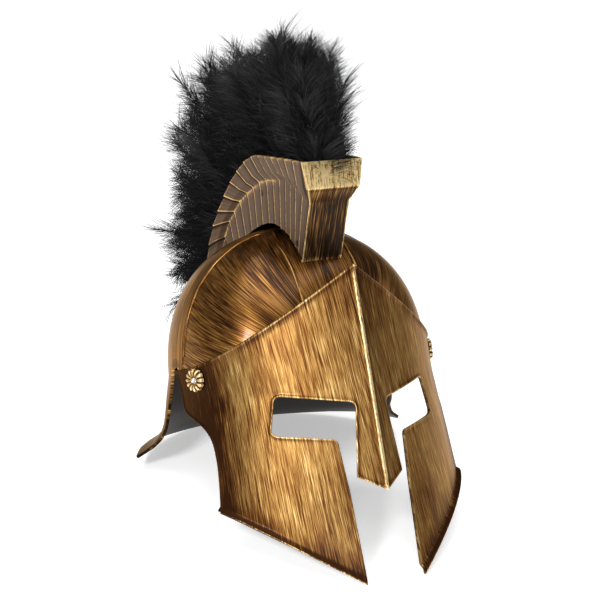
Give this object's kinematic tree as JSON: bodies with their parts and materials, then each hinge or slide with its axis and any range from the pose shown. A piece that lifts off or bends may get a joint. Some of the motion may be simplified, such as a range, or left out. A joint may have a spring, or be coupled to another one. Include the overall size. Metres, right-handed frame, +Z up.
{
  "type": "spartan helmet",
  "caption": "Spartan-style costume helmet: rounded skull shell with flared neck guard, riveted T-slot face mask and a crest holder with a tall feather plume.",
  "frame": {"origin": "on the ground under the middle of the whole helmet's box, as it rests on its cheek tips and the back of its neck guard", "axes": "+X to the wearer's left, +Y to the back of the helmet, +Z up from the ground"},
  "size_m": [0.247, 0.4164, 0.3626],
  "materials": {
    "shell_bronze": "brushed antique bronze paint with a dark brown wash, satin",
    "mask_gold": "brushed antique gold paint with a dark brown wash, satin",
    "crest_bronze": "taupe and brown plastic with gold dry-brushed edges, satin",
    "rosette_gold": "bright gold paint with dark grooves, satin",
    "black_feathers": "soft black down feathers with fluffy barbs"
  },
  "bodies": {
    "root": {"skull_shell": "shell_bronze", "face_mask": "mask_gold", "crest_holder": "crest_bronze", "rosette_left": "rosette_gold", "rosette_right": "rosette_gold", "plume": "black_feathers"}
  },
  "joints": []
}
